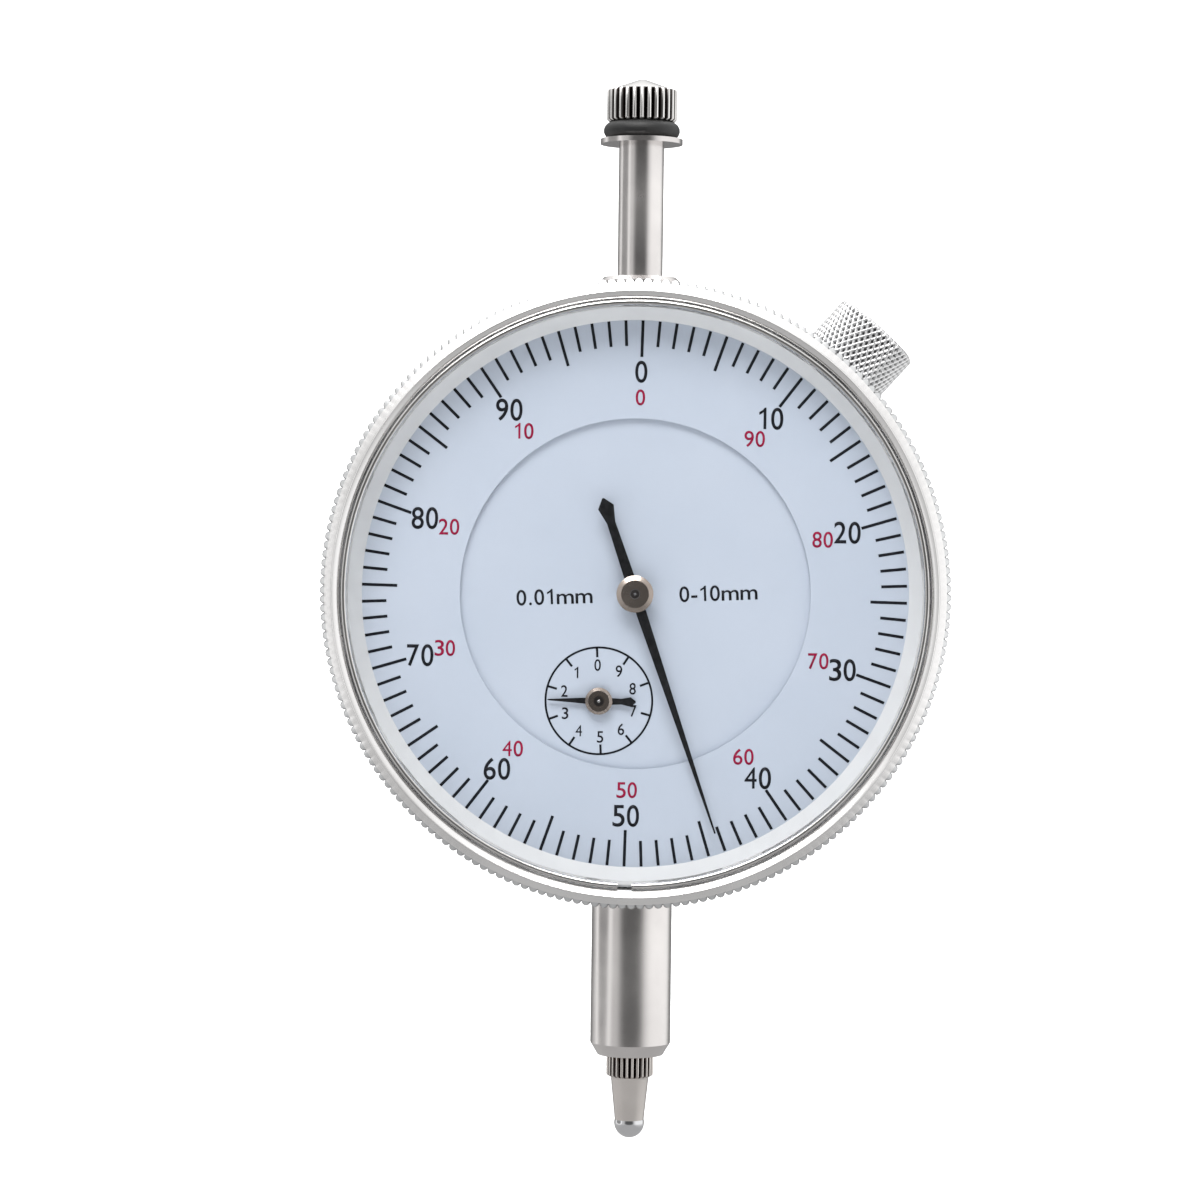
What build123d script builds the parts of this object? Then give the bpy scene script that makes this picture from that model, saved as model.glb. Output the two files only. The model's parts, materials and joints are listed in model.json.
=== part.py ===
from build123d import *
import math
import os

# A plunger dial indicator, in millimetres. The dial faces -Y and the spindle runs along Z.
# Parts are drawn with the dial centre at height 0, then lifted so that the origin is on the
# spindle axis, halfway along the stem's clamping length.

# Stem and spindle
STEM_RADIUS = 4.0
STEM_TOP = -29.0
STEM_BOTTOM = -46.2
STEM_CHAMFER = 1.2
STEM_END_RADIUS = 3.28
STEM_BORE = 2.9
SPIGOT_RADIUS = 3.6
SPIGOT_END = 24.0
LOWER_BUSHING_TOP = -38.5
SPINDLE_RADIUS = 2.25
RUNNING_GAP = 0.02
TRAVEL = 13.2
SPINDLE_THREAD = 1.25

# Pins in the spindle, and the return spring beside it
GUIDE_PIN_Z = 21.5
GUIDE_PIN_RADIUS = 0.6
GUIDE_PIN_INNER = 0.6
GUIDE_PIN_END = 5.2
SPRING_PIN_Z = 4.3
SPRING_PIN_RADIUS = 0.5
SPRING_PIN_INNER = 0.8
SPRING_X = 5.2
SPRING_Y = 0.4
SPRING_RADIUS = 1.1
SPRING_WIRE = 0.16
SPRING_TURNS = 16
SPRING_LOW = -19.6
SPRING_TOP = 3.6

# Top of the spindle
TOP_BUSH_END = 31.44
TOP_SPIGOT_END = 23.6
WASHER_BOTTOM = 44.7
WASHER_TOP = 45.2
WASHER_RADIUS = 4.1
WASHER_SEAT_RADIUS = 2.08
RUBBER_RING_RADIUS = 3.8
RUBBER_RING_SECTION = 0.85
CAP_BOTTOM = 46.9
CAP_KNURL_TOP = 50.75
CAP_TOP = 51.65
CAP_RADIUS = 3.5
CAP_RIBS = 30

# Contact
COLLAR_RADIUS = 2.35
COLLAR_BOTTOM = -48.4
COLLAR_RIBS = 26
CONTACT_RADIUS = 1.9
CONTACT_TIP_RADIUS = 1.42
BALL_RADIUS = 1.5
TIP = -54.6

# Case, front to back
CASE_RADIUS = 26.5
CASE_WALL = 2.0
FLANGE_RADIUS = 28.0
FLANGE_INNER = 24.9
FLANGE_FRONT = -9.1
FLANGE_BACK = -6.4
FLOOR_FRONT = -8.0
FLOOR_BACK = -6.6
CASE_BACK = 7.0
GASKET_BACK = 7.3
COVER_BACK = 9.3
BOSS_RADIUS = 4.8
BOSS_OVERLAP = 0.6
LOCK_BOSS_RADIUS = 3.4
LOCK_BOSS_END = 28.3
COVER_SCREW_CIRCLE = 22.6
COVER_POST_RADIUS = 2.3
COVER_POST_FRONT = -2.0
COVER_EDGE = 0.6
COVER_HEAD_DEPTH = 0.9
SEAT_INNER = 16.0
SEAT_OUTER = 18.4
SCREW_RADIUS = 0.7
SCREW_HOLE = 0.72

# Lug on the back
LUG_HOLE_RADIUS = 3.25
LUG_RADIUS = 6.5
LUG_THICKNESS = 5.0
LUG_HOLE_DEPTH = 17.3
LUG_FOOT_SIZE = (9.0, 1.0, 18.0)

# Dial
SCALE_INNER_RADIUS = 17.06
SCALE_OUTER_RADIUS = 28.35
SCALE_FRONT = -10.1
SCALE_BACK = -9.7
DIAL_PLATE_RADIUS = 19.0
DIAL_PLATE_FRONT = -9.65
DIAL_PLATE_BACK = -9.25

# Bezel and crystal
BEZEL_FRONT = -13.7
RIM_INNER_FRONT = -13.3
RIM_RADIUS = 29.36
BEZEL_BORE = 28.45
KNURL_RADIUS = 30.7
KNURL_DEPTH = 0.42
KNURL_TEETH = 216
KNURL_FRONT = -11.1
KNURL_CHAMFER = 1.0
KNURL_CHAMFER_DEPTH = 0.8
KNURL_BACK = -6.3
SKIRT_RADIUS = 28.9
SKIRT_BACK = -5.0
LEDGE_RADIUS = 26.9
LEDGE_BACK = -9.2
CRYSTAL_FRONT = -13.0
CRYSTAL_BACK = -11.8
SPACER_FRONT_RADIUS = 27.8
SPACER_BACK_RADIUS = 26.6
WIRE_CENTRE_Y = -7.75
WIRE_CENTRE_RADIUS = 28.03
WIRE_RADIUS = 0.4
WIRE_GROOVE_FLOOR = 27.55
WIRE_GROOVE_CEILING = 28.5
SNAP_RING_RADIUS = 28.15
SNAP_RING_SECTION = 0.3
SNAP_RING_GAP_ANGLE = -91.3

# Movement
REAR_PLATE_FRONT = -3.45
REAR_PLATE_BACK = -2.65
FRONT_PLATE_BACK = -5.6
PLATE_RADIUS = 22.0
WHEEL_TEETH = 100
PINION_TEETH = 10
RACK_PINION_TEETH = 16
WHEEL_MODULE = 0.2
RACK_PITCH = 0.625
CENTRE_DISTANCE = WHEEL_MODULE * (WHEEL_TEETH + PINION_TEETH) / 2
DRIVE_ANGLE = -108.0
TAKE_UP_ANGLE = 36.0
BRIDGE_FRONT = 2.6
BRIDGE_BACK = 3.4
PIVOT_RADIUS = 0.3
ARBOR_RADIUS = 0.6
CENTRE_ARBOR_RADIUS = 0.5
BUSHING_RADIUS = 1.4
PILLAR_RADIUS = 1.3
WHEEL_THICKNESS = 0.6
DRIVE_GEAR_FRONT = -4.35
TAKE_UP_GEAR_FRONT = -5.3
PINION_FRONT = -5.45
PINION_BACK = -3.6
RACK_PINION_HALF = 1.3
COLLET_FRONT = -4.6
COLLET_BACK = -3.7
CHANNEL_HALF = 4.2
CHANNEL_INNER_HALF = 2.8
CHANNEL_LOW = 6.2
CHANNEL_TOP = 23.3

# Pointers, as angles clockwise from the top seen from the front
MAIN_POINTER_ANGLE = 160.8
SMALL_POINTER_ANGLE = -89.1
POINTER_THICKNESS = 0.15
MAIN_POINTER_FRONT = -11.05
MAIN_SLEEVE_RADIUS = 1.2
SMALL_POINTER_FRONT = -10.15
SMALL_ARBOR_FRONT = -9.9
SMALL_SLEEVE_RADIUS = 0.9

# Bezel lock
LOCK_ANGLE = 48.0
LOCK_Y = -1.0
KNOB_RADIUS = 4.6
KNOB_INNER = 30.4
KNOB_OUTER = 35.6
KNOB_RIBS = 54
LOCK_STUD_RADIUS = 1.5
LOCK_STUD_END = 25.2
SHOE_INNER = 29.15
SHOE_OUTER = 30.35

ORIGIN_LIFT = 37.0
BASE = (Align.CENTER, Align.CENTER, Align.MIN)


def polar(radius, degrees):
    """A point of the dial's plane as (x, z), the angle counted from +X towards +Z."""
    turn = math.radians(degrees)
    return radius * math.cos(turn), radius * math.sin(turn)


DRIVE_X, DRIVE_Z = polar(CENTRE_DISTANCE, DRIVE_ANGLE)
TAKE_UP_X, TAKE_UP_Z = polar(CENTRE_DISTANCE, TAKE_UP_ANGLE)
PILLAR_SPOTS = [(-19.0, 2.0), (15.5, -11.5), (-10.0, 16.5), (7.5, 18.9)]
CASE_SCREW_SPOTS = [polar(20.0, angle) for angle in (30, 150, 270)]
COVER_SCREW_SPOTS = [polar(COVER_SCREW_CIRCLE, angle) for angle in (45, 135, 225, 315)]
BRIDGE_SCREW_SPOTS = [(-9.5, DRIVE_Z + 3.0), (-9.5, DRIVE_Z - 3.0)]
GUIDE_SCREW_SPOTS = [(x, z) for x in (-6.0, 6.0) for z in (10.8, 14.6)]
PIVOT_SPOTS = [(0.0, 0.0), (DRIVE_X, DRIVE_Z), (TAKE_UP_X, TAKE_UP_Z)]


def rod_y(radius, front, back, x=0.0, z=0.0):
    """A round bar along Y."""
    return Pos(x, front, z) * Rot(-90, 0, 0) * Cylinder(radius, back - front, align=BASE)


def rod_x(radius, left, right, y=0.0, z=0.0):
    """A round bar along X."""
    return Pos(left, y, z) * Rot(0, 90, 0) * Cylinder(radius, right - left, align=BASE)


def rod_z(radius, low, high, x=0.0, y=0.0):
    """A round bar along Z."""
    return Pos(x, y, low) * Cylinder(radius, high - low, align=BASE)


def turned_y(points):
    """A part turned about the dial's axis, from an outline of (radius, y) points."""
    return revolve(make_face(Polyline(*points, close=True)), Axis.Y)


def turned_z(points):
    """A part turned about the spindle's axis, from an outline of (radius, z) points."""
    outline = [(radius, 0, z) for radius, z in points]
    return revolve(make_face(Polyline(*outline, close=True)), Axis.Z)


def plate(points, front, back):
    """A flat part of the dial's plane, from an outline of (x, z) points."""
    outline = [(x, back, z) for x, z in points]
    return extrude(make_face(Polyline(*outline, close=True)), back - front, dir=(0, -1, 0))


def block(x_range, y_range, z_range):
    """A rectangular block from its limits along each axis."""
    size = [high - low for low, high in (x_range, y_range, z_range)]
    middle = [(low + high) / 2 for low, high in (x_range, y_range, z_range)]
    return Pos(*middle) * Box(*size)


def toothed_outline(teeth, tip, root, tip_share, root_share, first, x=0.0, z=0.0):
    """The outline of a toothed wheel; a share is a part of one pitch, and first is a tooth's angle."""
    points = []
    for tooth in range(teeth):
        for radius, offset in ((root, -root_share), (tip, -tip_share), (tip, tip_share), (root, root_share)):
            px, pz = polar(radius, first + 360 / teeth * (tooth + offset / 2))
            points.append((x + px, z + pz))
    return points


def ribs(radius, depth, count, low, high):
    """A straight-knurled bar along Z."""
    points = []
    for rib in range(count):
        points.append((*polar(radius, 360 * rib / count), low))
        points.append((*polar(radius - depth, 360 * (rib + 0.5) / count), low))
    return extrude(make_face(Polyline(*points, close=True)), high - low, dir=(0, 0, 1))


def screws(spots, shank, head, under_head, head_back, tip):
    """Slotted screws along Y with their heads at the back, one at each spot."""
    made = []
    for x, z in spots:
        screw = rod_y(shank, tip, under_head, x, z) + rod_y(head, under_head, head_back, x, z)
        slot = block((x - head, x + head), (head_back - 0.35, head_back), (z - 0.2, z + 0.2))
        made.append(screw - slot)
    return made


def drilled(body, spots, radius, front, back):
    """The body with a hole along Y at each spot."""
    for x, z in spots:
        body -= rod_y(radius, front, back, x, z)
    return body


# --- Case ---------------------------------------------------------------------------------


def case_shell():
    """The cup, its front flange with the groove for the bezel's wire, and the dial's seat."""
    inner = CASE_RADIUS - CASE_WALL
    groove = (WIRE_CENTRE_Y - 0.45, WIRE_CENTRE_Y + 0.45)
    return turned_y([
        (0, FLOOR_FRONT), (SEAT_INNER, FLOOR_FRONT), (SEAT_INNER, DIAL_PLATE_BACK),
        (SEAT_OUTER, DIAL_PLATE_BACK), (SEAT_OUTER, FLOOR_FRONT), (FLANGE_INNER, FLOOR_FRONT),
        (FLANGE_INNER, FLANGE_FRONT), (FLANGE_RADIUS, FLANGE_FRONT), (FLANGE_RADIUS, groove[0]),
        (WIRE_GROOVE_FLOOR, groove[0]), (WIRE_GROOVE_FLOOR, groove[1]), (FLANGE_RADIUS, groove[1]),
        (FLANGE_RADIUS, FLANGE_BACK), (CASE_RADIUS, FLANGE_BACK), (CASE_RADIUS, CASE_BACK),
        (inner, CASE_BACK), (inner, FLOOR_BACK), (0, FLOOR_BACK),
    ])


def case_bosses():
    """The round bosses that hold the stem, the top bush and the lock screw."""
    reach = CASE_RADIUS - CASE_WALL - BOSS_OVERLAP
    stem_boss = rod_z(BOSS_RADIUS, STEM_TOP, -reach)
    top_boss = rod_z(BOSS_RADIUS, reach, -STEM_TOP)
    lock_boss = along_lock(rod_z(LOCK_BOSS_RADIUS, reach, LOCK_BOSS_END))
    return stem_boss + top_boss + lock_boss


def case_body():
    inside = rod_y(CASE_RADIUS - CASE_WALL, FLOOR_BACK, CASE_BACK + 1)
    body = case_shell() + (case_bosses() - inside)
    for x, z in COVER_SCREW_SPOTS:
        body += rod_y(COVER_POST_RADIUS, COVER_POST_FRONT, CASE_BACK, x, z)
    body -= rod_z(SPIGOT_RADIUS, STEM_TOP - 1, -STEM_TOP + 1) - inside
    body -= along_lock(rod_z(LOCK_STUD_RADIUS + 0.05, 20.0, 30.0))
    body = drilled(body, COVER_SCREW_SPOTS, SCREW_HOLE, 1.0, CASE_BACK + 1)
    body = drilled(body, CASE_SCREW_SPOTS, SCREW_HOLE, FLOOR_FRONT - 1, FLOOR_BACK + 1)
    return drilled(body, [(0.0, 0.0), (DRIVE_X, DRIVE_Z)], 0.95, FLOOR_FRONT - 1, FLOOR_BACK + 1)


def stem():
    """The clamping stem, with a spigot pressed into the case."""
    return turned_z([
        (STEM_BORE, STEM_BOTTOM), (STEM_END_RADIUS, STEM_BOTTOM),
        (STEM_RADIUS, STEM_BOTTOM + STEM_CHAMFER), (STEM_RADIUS, STEM_TOP),
        (SPIGOT_RADIUS, STEM_TOP), (SPIGOT_RADIUS, -SPIGOT_END), (STEM_BORE, -SPIGOT_END),
    ])


def stem_bushing(low, high):
    bore = SPINDLE_RADIUS + RUNNING_GAP
    return turned_z([(bore, low), (STEM_BORE, low), (STEM_BORE, high), (bore, high)])


def top_bush():
    """The upper spindle bearing, pressed into the case; the washer stops on its end."""
    bore = SPINDLE_RADIUS + RUNNING_GAP
    edge = 0.4
    return turned_z([
        (bore, TOP_SPIGOT_END), (SPIGOT_RADIUS, TOP_SPIGOT_END), (SPIGOT_RADIUS, -STEM_TOP),
        (STEM_RADIUS, -STEM_TOP), (STEM_RADIUS, TOP_BUSH_END - edge), (STEM_RADIUS - edge, TOP_BUSH_END),
        (bore, TOP_BUSH_END),
    ])


def back_cover():
    """The rear disc with the lug that the indicator hangs from."""
    cover = turned_y([
        (0, GASKET_BACK), (CASE_RADIUS, GASKET_BACK), (CASE_RADIUS, COVER_BACK - COVER_EDGE),
        (CASE_RADIUS - COVER_EDGE, COVER_BACK), (0, COVER_BACK),
    ])
    half = LUG_THICKNESS / 2
    lug = block((-half, half), (COVER_BACK - 0.5, LUG_HOLE_DEPTH), (-LUG_RADIUS, LUG_RADIUS))
    end = rod_x(LUG_RADIUS, -half, half, LUG_HOLE_DEPTH, 0)
    hole = rod_x(LUG_HOLE_RADIUS, -half, half, LUG_HOLE_DEPTH, 0)
    width, rise, height = LUG_FOOT_SIZE
    foot = block((-width / 2, width / 2), (COVER_BACK - 0.5, COVER_BACK + rise), (-height / 2, height / 2))
    cover = drilled(cover, COVER_SCREW_SPOTS, SCREW_RADIUS + 0.05, GASKET_BACK - 1, COVER_BACK + 1)
    cover = drilled(cover, COVER_SCREW_SPOTS, 1.6, COVER_BACK - COVER_HEAD_DEPTH, COVER_BACK + 1)
    return cover + foot + lug + end - hole


def gasket():
    inner, outer = CASE_RADIUS - 1.6, CASE_RADIUS - 0.3
    return rod_y(outer, CASE_BACK, GASKET_BACK) - rod_y(inner, CASE_BACK, GASKET_BACK)


def split_ring(centre_radius, section, y, gap, gap_angle):
    """A round-wire ring about the dial's axis, with a gap at the given angle."""
    ring = Pos(0, y, 0) * Rot(-90, 0, 0) * Torus(centre_radius, section)
    cut = block((centre_radius - 2, centre_radius + 2), (y - 2, y + 2), (-gap / 2, gap / 2))
    return ring - Rot(0, -gap_angle, 0) * cut


# --- Dial and bezel -----------------------------------------------------------------------


def inner_dial_plate():
    dial = rod_y(DIAL_PLATE_RADIUS, DIAL_PLATE_FRONT, DIAL_PLATE_BACK)
    return drilled(dial, [(0.0, 0.0), (DRIVE_X, DRIVE_Z)], 0.9, -12.0, 0.0)


def scale_ring():
    outer = rod_y(SCALE_OUTER_RADIUS, SCALE_FRONT, SCALE_BACK)
    return outer - rod_y(SCALE_INNER_RADIUS, SCALE_FRONT, SCALE_BACK)


def spacer_ring():
    """The pale ring that holds the scale down and stands the crystal off it."""
    return turned_y([
        (SPACER_FRONT_RADIUS, CRYSTAL_BACK), (SCALE_OUTER_RADIUS, CRYSTAL_BACK),
        (SCALE_OUTER_RADIUS, SCALE_FRONT), (SPACER_BACK_RADIUS, SCALE_FRONT),
    ])


def crystal():
    edge = 0.2
    return turned_y([
        (0, CRYSTAL_FRONT), (SCALE_OUTER_RADIUS - edge, CRYSTAL_FRONT),
        (SCALE_OUTER_RADIUS, CRYSTAL_FRONT + edge), (SCALE_OUTER_RADIUS, CRYSTAL_BACK), (0, CRYSTAL_BACK),
    ])


def knurled_band():
    """The bezel's grip: a toothed disc, chamfered at both faces."""
    outline = toothed_outline(KNURL_TEETH, KNURL_RADIUS, KNURL_RADIUS - KNURL_DEPTH, 0.3, 0.8, 0)
    teeth = plate(outline, KNURL_FRONT, KNURL_BACK)
    edge = 0.3
    envelope = turned_y([
        (0, KNURL_FRONT), (KNURL_RADIUS - KNURL_CHAMFER, KNURL_FRONT),
        (KNURL_RADIUS + 0.1, KNURL_FRONT + KNURL_CHAMFER_DEPTH), (KNURL_RADIUS + 0.1, KNURL_BACK - edge),
        (KNURL_RADIUS - edge, KNURL_BACK), (0, KNURL_BACK),
    ])
    return teeth & envelope


def bezel():
    """Rim, knurled band and skirt, bored in steps for the crystal, the scale and the case."""
    groove = (WIRE_CENTRE_Y - 0.5, WIRE_CENTRE_Y + 0.5)
    case_bore = FLANGE_RADIUS + 0.06
    edge = 0.15
    rim = turned_y([
        (0, RIM_INNER_FRONT), (BEZEL_BORE, RIM_INNER_FRONT), (RIM_RADIUS - edge, BEZEL_FRONT),
        (RIM_RADIUS, BEZEL_FRONT + edge), (RIM_RADIUS, KNURL_FRONT + 0.5), (0, KNURL_FRONT + 0.5),
    ])
    skirt = rod_y(SKIRT_RADIUS, KNURL_BACK - 0.5, SKIRT_BACK)
    opening = turned_y([
        (0, BEZEL_FRONT - 1), (BEZEL_BORE + 0.1, BEZEL_FRONT - 1), (BEZEL_BORE + 0.1, CRYSTAL_FRONT),
        (BEZEL_BORE, CRYSTAL_FRONT), (BEZEL_BORE, SCALE_BACK), (LEDGE_RADIUS, SCALE_BACK),
        (LEDGE_RADIUS, LEDGE_BACK), (case_bore, LEDGE_BACK), (case_bore, groove[0]),
        (WIRE_GROOVE_CEILING, groove[0]), (WIRE_GROOVE_CEILING, groove[1]), (case_bore, groove[1]),
        (case_bore, SKIRT_BACK + 1), (0, SKIRT_BACK + 1),
    ])
    return rim + knurled_band() + skirt - opening


# --- Spindle ------------------------------------------------------------------------------


def rack_teeth_gaps():
    """The material cut from the spindle's -X side to leave the rack's teeth."""
    pitch_line = DRIVE_X + RACK_PITCH * RACK_PINION_TEETH / (2 * math.pi)
    tip, root = pitch_line - 0.16, pitch_line + 0.22
    low = DRIVE_Z - 4 * RACK_PITCH
    high = DRIVE_Z + 24 * RACK_PITCH
    points = [(-4.0, high), (-4.0, low), (tip, low)]
    for tooth in range(28):
        middle = low + RACK_PITCH * tooth
        if tooth > 0:
            points += [(root, middle - 0.185), (tip, middle - 0.075)]
            points += [(tip, middle + 0.075), (root, middle + 0.185)]
        else:
            points += [(tip, middle + 0.075), (root, middle + 0.185)]
    points += [(root, high - 0.185), (tip, high)]
    return plate(points, -3.0, 3.0)


def spindle():
    """The rack spindle, tapped below for the contact and threaded above for the cap."""
    thread = SPINDLE_THREAD
    tapped, stud = STEM_BOTTOM + 4.3, CAP_BOTTOM + 2.5
    body = turned_z([
        (0, tapped), (thread, tapped), (thread, STEM_BOTTOM), (SPINDLE_RADIUS, STEM_BOTTOM),
        (SPINDLE_RADIUS, WASHER_BOTTOM), (WASHER_SEAT_RADIUS, WASHER_BOTTOM),
        (WASHER_SEAT_RADIUS, CAP_BOTTOM), (thread, CAP_BOTTOM), (thread, stud), (0, stud),
    ])
    return body - rack_teeth_gaps() - guide_pin() - spring_pin()


def guide_pin():
    return rod_y(GUIDE_PIN_RADIUS, GUIDE_PIN_INNER, GUIDE_PIN_END, 0.0, GUIDE_PIN_Z)


def spring_pin():
    return rod_x(SPRING_PIN_RADIUS, SPRING_PIN_INNER, SPRING_X + 1.4, 0.0, SPRING_PIN_Z)


def contact_point():
    """Screwed into the spindle: threaded stud, ribbed collar and tapered nose with a ball seat."""
    collar = ribs(COLLAR_RADIUS, 0.16, COLLAR_RIBS, COLLAR_BOTTOM, STEM_BOTTOM)
    seat = TIP + BALL_RADIUS
    nose = turned_z([
        (0, seat), (CONTACT_TIP_RADIUS, seat), (CONTACT_RADIUS, COLLAR_BOTTOM),
        (CONTACT_RADIUS, COLLAR_BOTTOM + 0.5),
        (0, COLLAR_BOTTOM + 0.5),
    ])
    stud = rod_z(SPINDLE_THREAD - RUNNING_GAP, STEM_BOTTOM - 0.5, STEM_BOTTOM + 4.0)
    return collar + nose + stud - Pos(0, 0, seat) * Sphere(BALL_RADIUS)


def contact_ball():
    return Pos(0, 0, TIP + BALL_RADIUS) * Sphere(BALL_RADIUS)


def washer():
    bore = WASHER_SEAT_RADIUS + RUNNING_GAP
    return rod_z(WASHER_RADIUS, WASHER_BOTTOM, WASHER_TOP) - rod_z(bore, WASHER_BOTTOM, WASHER_TOP)


def rubber_ring():
    centre = RUBBER_RING_RADIUS - RUBBER_RING_SECTION
    return Pos(0, 0, (WASHER_TOP + CAP_BOTTOM) / 2) * Torus(centre, RUBBER_RING_SECTION)


def spindle_cap():
    """The knurled finger cap, screwed on the spindle's upper end."""
    edge = 0.35
    grip = ribs(CAP_RADIUS, 0.28, CAP_RIBS, CAP_BOTTOM, CAP_TOP)
    envelope = turned_z([
        (0, CAP_BOTTOM), (CAP_RADIUS - edge, CAP_BOTTOM), (CAP_RADIUS, CAP_BOTTOM + edge),
        (CAP_RADIUS, CAP_KNURL_TOP - 0.2), (CAP_RADIUS - edge, CAP_KNURL_TOP), (0.4, CAP_TOP), (0, CAP_TOP),
    ])
    return (grip & envelope) - rod_z(SPINDLE_THREAD + RUNNING_GAP, CAP_BOTTOM, CAP_BOTTOM + 2.6)


# --- Movement -----------------------------------------------------------------------------


def movement_front_plate():
    body = rod_y(PLATE_RADIUS, FLOOR_BACK, FRONT_PLATE_BACK)
    body = drilled(body, PIVOT_SPOTS, BUSHING_RADIUS, -9.0, 0.0)
    body = drilled(body, PILLAR_SPOTS, SCREW_HOLE, -9.0, 0.0)
    return drilled(body, CASE_SCREW_SPOTS, SCREW_HOLE, -9.0, 0.0)


def movement_rear_plate():
    body = rod_y(PLATE_RADIUS, REAR_PLATE_FRONT, REAR_PLATE_BACK)
    body = drilled(body, PIVOT_SPOTS, BUSHING_RADIUS, -9.0, 0.0)
    body = drilled(body, PILLAR_SPOTS, SCREW_HOLE, -9.0, 0.0)
    return drilled(body, BRIDGE_SCREW_SPOTS + GUIDE_SCREW_SPOTS, SCREW_HOLE, -9.0, 0.0)


def pillar(x, z):
    outside = rod_y(PILLAR_RADIUS, FRONT_PLATE_BACK, REAR_PLATE_FRONT, x, z)
    return outside - rod_y(SCREW_HOLE, -9.0, 0.0, x, z)


def bushing(x, z, front, back, bore):
    return rod_y(BUSHING_RADIUS, front, back, x, z) - rod_y(bore + RUNNING_GAP, front, back, x, z)


def pivot_bushings():
    """The bearings of the three arbors, front plate, rear plate and bridge."""
    centre, drive, take_up = PIVOT_SPOTS
    front = (FLOOR_BACK, FRONT_PLATE_BACK)
    rear = (REAR_PLATE_FRONT, REAR_PLATE_BACK)
    return [
        bushing(*centre, *front, CENTRE_ARBOR_RADIUS), bushing(*centre, *rear, PIVOT_RADIUS),
        bushing(*drive, *front, ARBOR_RADIUS), bushing(*drive, *rear, ARBOR_RADIUS),
        bushing(*take_up, *front, PIVOT_RADIUS), bushing(*take_up, *rear, PIVOT_RADIUS),
        bushing(*drive, BRIDGE_FRONT, BRIDGE_BACK, PIVOT_RADIUS),
    ]


def rack_pinion_bridge():
    """The cock that carries the rear pivot of the rack pinion."""
    body = block((-11.3, DRIVE_X + 1.9), (BRIDGE_FRONT, BRIDGE_BACK), (DRIVE_Z - 4.8, DRIVE_Z + 4.8))
    for x, z in BRIDGE_SCREW_SPOTS:
        body += rod_y(1.6, REAR_PLATE_BACK, BRIDGE_BACK, x, z)
    body = drilled(body, BRIDGE_SCREW_SPOTS, SCREW_HOLE, -9.0, 9.0)
    return body - rod_y(BUSHING_RADIUS, 0.0, 9.0, DRIVE_X, DRIVE_Z)


def guide_channel():
    """The slotted channel that keeps the spindle's guide pin, and so the spindle, from turning."""
    half = CHANNEL_HALF
    inner_half = CHANNEL_INNER_HALF
    slot_half = GUIDE_PIN_RADIUS + RUNNING_GAP
    slot_end = GUIDE_PIN_RADIUS + 0.05
    outside = block((-half, half), (REAR_PLATE_BACK, 5.6), (CHANNEL_LOW, CHANNEL_TOP))
    inside = block((-inner_half, inner_half), (REAR_PLATE_BACK - 1, 3.0), (CHANNEL_LOW - 1, CHANNEL_TOP + 1))
    slot_range = (GUIDE_PIN_Z - TRAVEL - slot_end, GUIDE_PIN_Z + slot_end)
    body = outside - inside - block((-slot_half, slot_half), (2.0, 6.0), slot_range)
    for side in (-1, 1):
        foot_range = sorted((side * half, side * 7.4))
        body += block(foot_range, (REAR_PLATE_BACK, REAR_PLATE_BACK + 1.0), (9.2, 16.2))
    return drilled(body, GUIDE_SCREW_SPOTS, SCREW_HOLE, -9.0, 9.0)


def return_spring_post():
    return rod_y(0.6, REAR_PLATE_BACK, 1.6, SPRING_X, -20.5)


def return_spring():
    """The tension spring that pulls the spindle down."""
    height = SPRING_TOP - SPRING_LOW
    path = Helix(pitch=height / SPRING_TURNS, height=height, radius=SPRING_RADIUS)
    section = Plane(origin=path @ 0, z_dir=path % 0) * Circle(SPRING_WIRE)
    return Pos(SPRING_X, SPRING_Y, SPRING_LOW) * sweep(section, path=path, is_frenet=True)


def wheel(x, z, front, first_tooth):
    """A 100-tooth wheel with four round windows and a hub hole."""
    pitch_radius = WHEEL_MODULE * WHEEL_TEETH / 2
    tip, root = pitch_radius + 0.13, pitch_radius - 0.22
    back = front + WHEEL_THICKNESS
    body = plate(toothed_outline(WHEEL_TEETH, tip, root, 0.24, 0.52, first_tooth, x, z), front, back)
    for window in range(4):
        wx, wz = polar(5.6, 45 + 90 * window)
        body -= rod_y(2.9, front, back, x + wx, z + wz)
    return body - rod_y(ARBOR_RADIUS, front, back, x, z)


def drive_gear():
    """Meshes with the centre pinion: one tooth lies on the line between their centres."""
    return wheel(DRIVE_X, DRIVE_Z, DRIVE_GEAR_FRONT, DRIVE_ANGLE + 180)


def take_up_gear():
    return wheel(TAKE_UP_X, TAKE_UP_Z, TAKE_UP_GEAR_FRONT, TAKE_UP_ANGLE + 180)


def rack_pinion():
    """The arbor with the pinion that the rack turns; a gap of the pinion faces the rack."""
    pitch_radius = RACK_PITCH * RACK_PINION_TEETH / (2 * math.pi)
    half_pitch = 180 / RACK_PINION_TEETH
    outline = toothed_outline(
        RACK_PINION_TEETH, pitch_radius + 0.14, pitch_radius - 0.22, 0.18, 0.52, half_pitch, DRIVE_X, DRIVE_Z
    )
    body = plate(outline, -RACK_PINION_HALF, RACK_PINION_HALF)
    body += rod_y(ARBOR_RADIUS, SMALL_ARBOR_FRONT, 2.3, DRIVE_X, DRIVE_Z)
    return body + rod_y(PIVOT_RADIUS, 2.2, BRIDGE_BACK, DRIVE_X, DRIVE_Z)


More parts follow.
